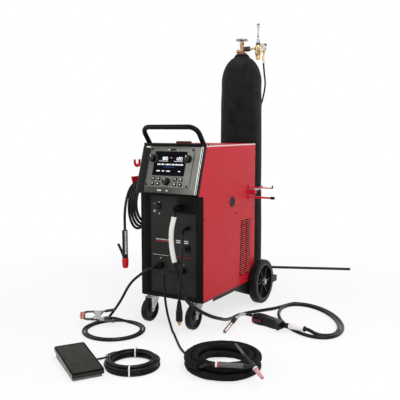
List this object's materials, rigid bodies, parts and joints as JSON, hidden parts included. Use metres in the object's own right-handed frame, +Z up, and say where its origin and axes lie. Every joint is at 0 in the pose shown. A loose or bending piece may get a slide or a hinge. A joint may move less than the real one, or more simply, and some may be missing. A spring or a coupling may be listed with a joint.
{
  "type": "mig welder on cart",
  "caption": "Multi-process wire welder in a red steel case on a wheeled cart, with a covered gas bottle, coiled leads, hand tools and a foot pedal.",
  "frame": {"origin": "on the floor, under the middle of the box that holds the machine and its hand tools, leads left out", "axes": "+X to the right of the cabinet seen from its front, +Y towards the gas bottle at the rear, +Z up"},
  "size_m": [1.2147, 2.4755, 1.624],
  "materials": {
    "red_paint": "gloss powder coat",
    "grey_paint": "satin powder coat",
    "black_paint": "satin powder coat",
    "bezel_plastic": "fine grained moulding",
    "fascia_print": "printed film with dark lower band",
    "screen": "glossy window",
    "knob_plastic": "moulded, soft touch",
    "chassis_metal": "plain sheet and windings",
    "zinc": "zinc plated",
    "tyre": "black tread",
    "caster_tread": "hard rubber",
    "hook_red": "red coat with black rubber tips",
    "drive_metal": "cast drive housing",
    "wire_wound": "wound wire on a moulded spool",
    "bottle_steel": "aged dark red paint",
    "cover_cloth": "coated black cloth",
    "brass": "machined",
    "bright_wheel": "cast and plated",
    "gun_plastic": "moulded grip",
    "trigger_red": "moulded",
    "torch_rubber": "ribbed grip with ceramic cup",
    "clamp_steel": "plated steel with copper jaws",
    "holder_plastic": "insulated handle",
    "pedal_grey": "light grey coat",
    "pedal_dark": "dark textured coat",
    "cable_rubber": "black rubber jacket",
    "sleeve_cloth": "woven black sleeve",
    "plug_plastic": "moulded connectors"
  },
  "bodies": {
    "cart": {"base_frame": "grey_paint", "rear_axle": "zinc", "front_panel": "bezel_plastic", "case_wrap": "red_paint", "rear_panel": "grey_paint", "head_housing": "bezel_plastic", "head_fascia": "fascia_print", "display_window": "screen", "handle": "black_paint", "power_core": "chassis_metal", "output_sockets": "plug_plastic", "cable_hooks": "hook_red", "wire_drive": "drive_metal", "gas_cylinder": "bottle_steel", "cylinder_cover": "cover_cloth", "cylinder_valve": "brass", "flow_regulator": "brass", "cylinder_chain": "zinc", "mig_gun_body": "gun_plastic", "tig_torch": "torch_rubber", "clamp_jaw_fixed": "clamp_steel", "holder_body": "holder_plastic", "pedal_base": "pedal_grey", "work_cable": "cable_rubber", "mig_cable": "cable_rubber", "tig_cable": "cable_rubber", "tig_coil": "sleeve_cloth", "pedal_cord": "cable_rubber", "pedal_coil": "cable_rubber", "holder_cable": "cable_rubber", "power_cord": "cable_rubber", "gas_hose": "cable_rubber", "polarity_lead": "cable_rubber", "cable_plugs": "plug_plastic"},
    "caster_fork_left": {"caster_fork_left": "zinc"},
    "caster_fork_right": {"caster_fork_right": "zinc"},
    "caster_wheel_left": {"caster_wheel_left": "caster_tread"},
    "caster_wheel_right": {"caster_wheel_right": "caster_tread"},
    "rear_wheel_left": {"rear_wheel_left": "tyre"},
    "rear_wheel_right": {"rear_wheel_right": "tyre"},
    "spool": {"wire_spool": "wire_wound"},
    "door": {"side_door": "red_paint"},
    "knob_left": {"knob_left": "knob_plastic"},
    "knob_right": {"knob_right": "knob_plastic"},
    "knob_select": {"knob_select": "knob_plastic"},
    "switch": {"power_switch": "knob_plastic"},
    "bottle_handwheel": {"valve_handwheel": "bright_wheel"},
    "flow_knob": {"flow_knob": "knob_plastic"},
    "gun_trigger": {"mig_gun_trigger": "trigger_red"},
    "clamp_jaw": {"clamp_jaw_moving": "clamp_steel"},
    "holder_lever": {"holder_lever": "holder_plastic"},
    "pedal": {"pedal_plate": "pedal_dark"},
    "button_1": {"button_1": "knob_plastic"},
    "button_2": {"button_2": "knob_plastic"},
    "button_3": {"button_3": "knob_plastic"},
    "button_4": {"button_4": "knob_plastic"},
    "button_5": {"button_5": "knob_plastic"},
    "button_6": {"button_6": "knob_plastic"},
    "button_7": {"button_7": "knob_plastic"},
    "button_8": {"button_8": "knob_plastic"}
  },
  "joints": [
    {"name": "caster_swivel_left", "type": "hinge", "parent": "cart", "child": "caster_fork_left", "pos_m": [-0.30384, -0.02449, 0.128], "axis": [0, 0, 1], "continuous": true},
    {"name": "caster_roll_left", "type": "hinge", "parent": "caster_fork_left", "child": "caster_wheel_left", "pos_m": [-0.30384, -0.05749, 0.0635], "axis": [1, 0, 0], "continuous": true},
    {"name": "caster_swivel_right", "type": "hinge", "parent": "cart", "child": "caster_fork_right", "pos_m": [-0.03384, -0.02449, 0.128], "axis": [0, 0, 1], "continuous": true},
    {"name": "caster_roll_right", "type": "hinge", "parent": "caster_fork_right", "child": "caster_wheel_right", "pos_m": [-0.03384, -0.05749, 0.0635], "axis": [1, 0, 0], "continuous": true},
    {"name": "wheel_roll_left", "type": "hinge", "parent": "cart", "child": "rear_wheel_left", "pos_m": [-0.38984, 0.55351, 0.127], "axis": [1, 0, 0], "continuous": true},
    {"name": "wheel_roll_right", "type": "hinge", "parent": "cart", "child": "rear_wheel_right", "pos_m": [0.05216, 0.55351, 0.127], "axis": [1, 0, 0], "continuous": true},
    {"name": "spool_turn", "type": "hinge", "parent": "cart", "child": "spool", "pos_m": [-0.13784, 0.39751, 0.71], "axis": [1, 0, 0], "continuous": true},
    {"name": "door_swing", "type": "hinge", "parent": "cart", "child": "door", "pos_m": [-0.36334, 0.50451, 0.59], "axis": [0, 0, -1], "range_deg": [0, 110]},
    {"name": "knob_left_turn", "type": "hinge", "parent": "cart", "child": "knob_left", "pos_m": [-0.26884, -0.06716, 0.86039], "axis": [0, -0.9516, 0.3074], "continuous": true},
    {"name": "knob_right_turn", "type": "hinge", "parent": "cart", "child": "knob_right", "pos_m": [-0.05684, -0.06716, 0.86039], "axis": [0, -0.9516, 0.3074], "continuous": true},
    {"name": "knob_select_turn", "type": "hinge", "parent": "cart", "child": "knob_select", "pos_m": [-0.16284, -0.10343, 0.7481], "axis": [0, -0.9516, 0.3074], "continuous": true},
    {"name": "button_1_press", "type": "slide", "parent": "cart", "child": "button_1", "axis": [0, 0.9516, -0.3074], "range_m": [0, 0.0015], "stiffness_N_per_m": 400, "springref_m": -0.0008},
    {"name": "button_2_press", "type": "slide", "parent": "cart", "child": "button_2", "axis": [0, 0.9516, -0.3074], "range_m": [0, 0.0015], "stiffness_N_per_m": 400, "springref_m": -0.0008},
    {"name": "button_3_press", "type": "slide", "parent": "cart", "child": "button_3", "axis": [0, 0.9516, -0.3074], "range_m": [0, 0.0015], "stiffness_N_per_m": 400, "springref_m": -0.0008},
    {"name": "button_4_press", "type": "slide", "parent": "cart", "child": "button_4", "axis": [0, 0.9516, -0.3074], "range_m": [0, 0.0015], "stiffness_N_per_m": 400, "springref_m": -0.0008},
    {"name": "button_5_press", "type": "slide", "parent": "cart", "child": "button_5", "axis": [0, 0.9516, -0.3074], "range_m": [0, 0.0015], "stiffness_N_per_m": 400, "springref_m": -0.0008},
    {"name": "button_6_press", "type": "slide", "parent": "cart", "child": "button_6", "axis": [0, 0.9516, -0.3074], "range_m": [0, 0.0015], "stiffness_N_per_m": 400, "springref_m": -0.0008},
    {"name": "button_7_press", "type": "slide", "parent": "cart", "child": "button_7", "axis": [0, 0.9516, -0.3074], "range_m": [0, 0.0015], "stiffness_N_per_m": 400, "springref_m": -0.0008},
    {"name": "button_8_press", "type": "slide", "parent": "cart", "child": "button_8", "axis": [0, 0.9516, -0.3074], "range_m": [0, 0.0015], "stiffness_N_per_m": 400, "springref_m": -0.0008},
    {"name": "switch_rock", "type": "hinge", "parent": "cart", "child": "switch", "pos_m": [-0.25284, -0.03649, 0.611], "axis": [-1, 0, 0], "range_deg": [0, 24]},
    {"name": "handwheel_turn", "type": "hinge", "parent": "cart", "child": "bottle_handwheel", "pos_m": [-0.16884, 0.71751, 1.52], "axis": [0, 0, 1], "continuous": true},
    {"name": "flow_knob_turn", "type": "hinge", "parent": "cart", "child": "flow_knob", "pos_m": [-0.02184, 0.71751, 1.49], "axis": [0, 0, 1], "continuous": true},
    {"name": "trigger_pull", "type": "hinge", "parent": "cart", "child": "gun_trigger", "pos_m": [0.23086, 0.16966, 0.024], "axis": [0, 0, -1], "range_deg": [0, 10], "stiffness_Nm_per_rad": 0.4, "springref_deg": -11.46},
    {"name": "clamp_open", "type": "hinge", "parent": "cart", "child": "clamp_jaw", "pos_m": [-0.48684, -0.25749, 0.052], "axis": [-0.3945, 0.6566, -0.6428], "range_deg": [0, 20], "stiffness_Nm_per_rad": 4, "springref_deg": -8.59},
    {"name": "lever_squeeze", "type": "hinge", "parent": "cart", "child": "holder_lever", "pos_m": [-0.43084, -0.10549, 0.326], "axis": [0, 1, 0], "range_deg": [0, 12], "stiffness_Nm_per_rad": 1.5, "springref_deg": -8.59},
    {"name": "pedal_press", "type": "hinge", "parent": "cart", "child": "pedal", "pos_m": [-0.1736, -0.73932, 0.016], "axis": [-0.5358, -0.8443, 0], "range_deg": [0, 4], "stiffness_Nm_per_rad": 25, "springref_deg": -5.73}
  ]
}
